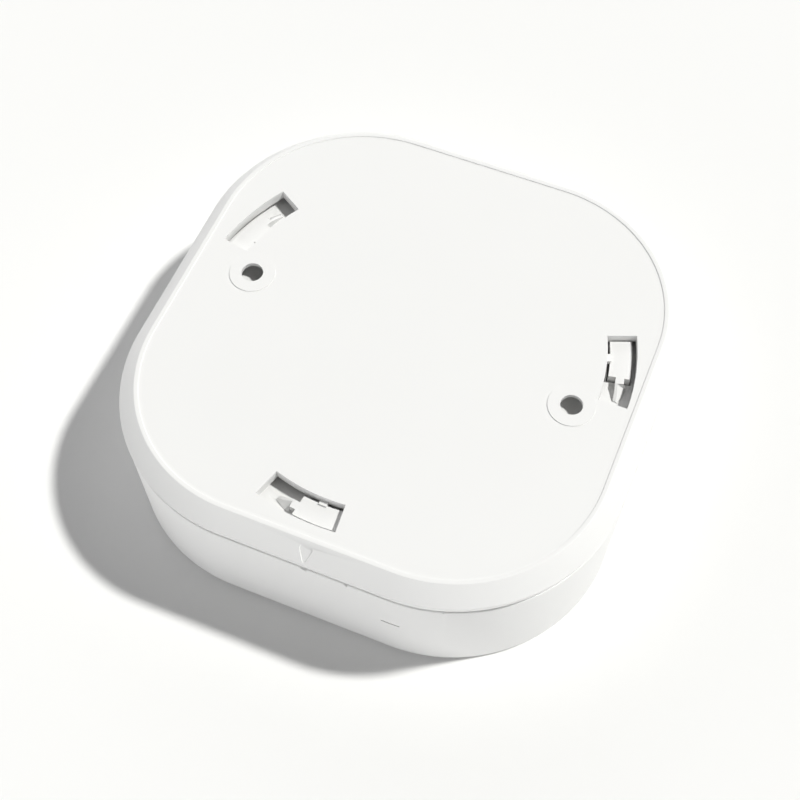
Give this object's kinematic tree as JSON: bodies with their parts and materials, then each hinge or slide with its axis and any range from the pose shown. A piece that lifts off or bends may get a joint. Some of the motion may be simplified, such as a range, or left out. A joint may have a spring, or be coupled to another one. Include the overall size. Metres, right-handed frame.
{
  "type": "smoke detector",
  "caption": "Ceiling smoke detector with a rounded-square white casing and a twist-off mounting plate.",
  "frame": {"origin": "centre of the body's outline, on the plane the front face rests on", "axes": "X and Y along the sides of the rounded square, Z from the front face to the ceiling side"},
  "size_m": [0.12, 0.12, 0.0354],
  "materials": {
    "casing": "smooth moulded white, fine satin",
    "button": "smooth moulded white",
    "light_guide": "translucent moulded",
    "mesh": "fine woven mesh",
    "board": "solder mask",
    "black_plastic": "matt moulded black",
    "plunger": "moulded",
    "shield": "stamped tinned sheet",
    "sleeve": "shrunk sleeve",
    "ferrite": "ferrite with lacquered wire",
    "lamp": "clear epoxy",
    "brass": "thin rolled disc",
    "cradle": "moulded",
    "cell_wrap": "shrunk wrap",
    "steel": "nickel plated"
  },
  "bodies": {
    "body": {"alarm_led": "lamp", "battery_1": "cell_wrap", "battery_2": "cell_wrap", "battery_cradle": "cradle", "board_screw_1": "steel", "board_screw_2": "steel", "board_screw_3": "steel", "board_screw_4": "steel", "capacitor": "sleeve", "chamber_base": "black_plastic", "chamber_lid": "black_plastic", "chamber_vanes": "black_plastic", "circuit_board": "board", "contact_bridge": "steel", "contact_minus": "steel", "contact_plus": "steel", "cover_screw_1": "steel", "cover_screw_2": "steel", "cover_screw_3": "steel", "cover_screw_4": "steel", "front_housing": "casing", "horn_disc": "brass", "horn_housing": "black_plastic", "horn_lid": "black_plastic", "inductor": "ferrite", "infrared_led": "lamp", "insect_mesh": "mesh", "light_ring": "light_guide", "microcontroller": "black_plastic", "photodiode": "lamp", "radio_module": "shield", "rear_cover": "casing", "status_led": "lamp", "switch_body": "black_plastic"},
    "plate": {"mounting_plate": "casing"},
    "button": {"test_button": "button"},
    "plunger": {"switch_plunger": "plunger"}
  },
  "joints": [
    {"name": "plate_twist", "type": "hinge", "parent": "body", "child": "plate", "pos_m": [0.00057, 0.00093, 0.0326], "axis": [0, 0, 1], "range_deg": [0, 9.1]},
    {"name": "button_press", "type": "slide", "parent": "body", "child": "button", "axis": [0, 0, 1], "range_m": [0, 0.0006], "stiffness_N_per_m": 2500, "springref_m": -0.0003},
    {"name": "plunger_press", "type": "slide", "parent": "body", "child": "plunger", "axis": [0, 0, 1], "range_m": [0, 0.0006]}
  ],
  "couplings": [
    {"joint": "plunger_press", "follows": "button_press", "ratio": 1}
  ]
}
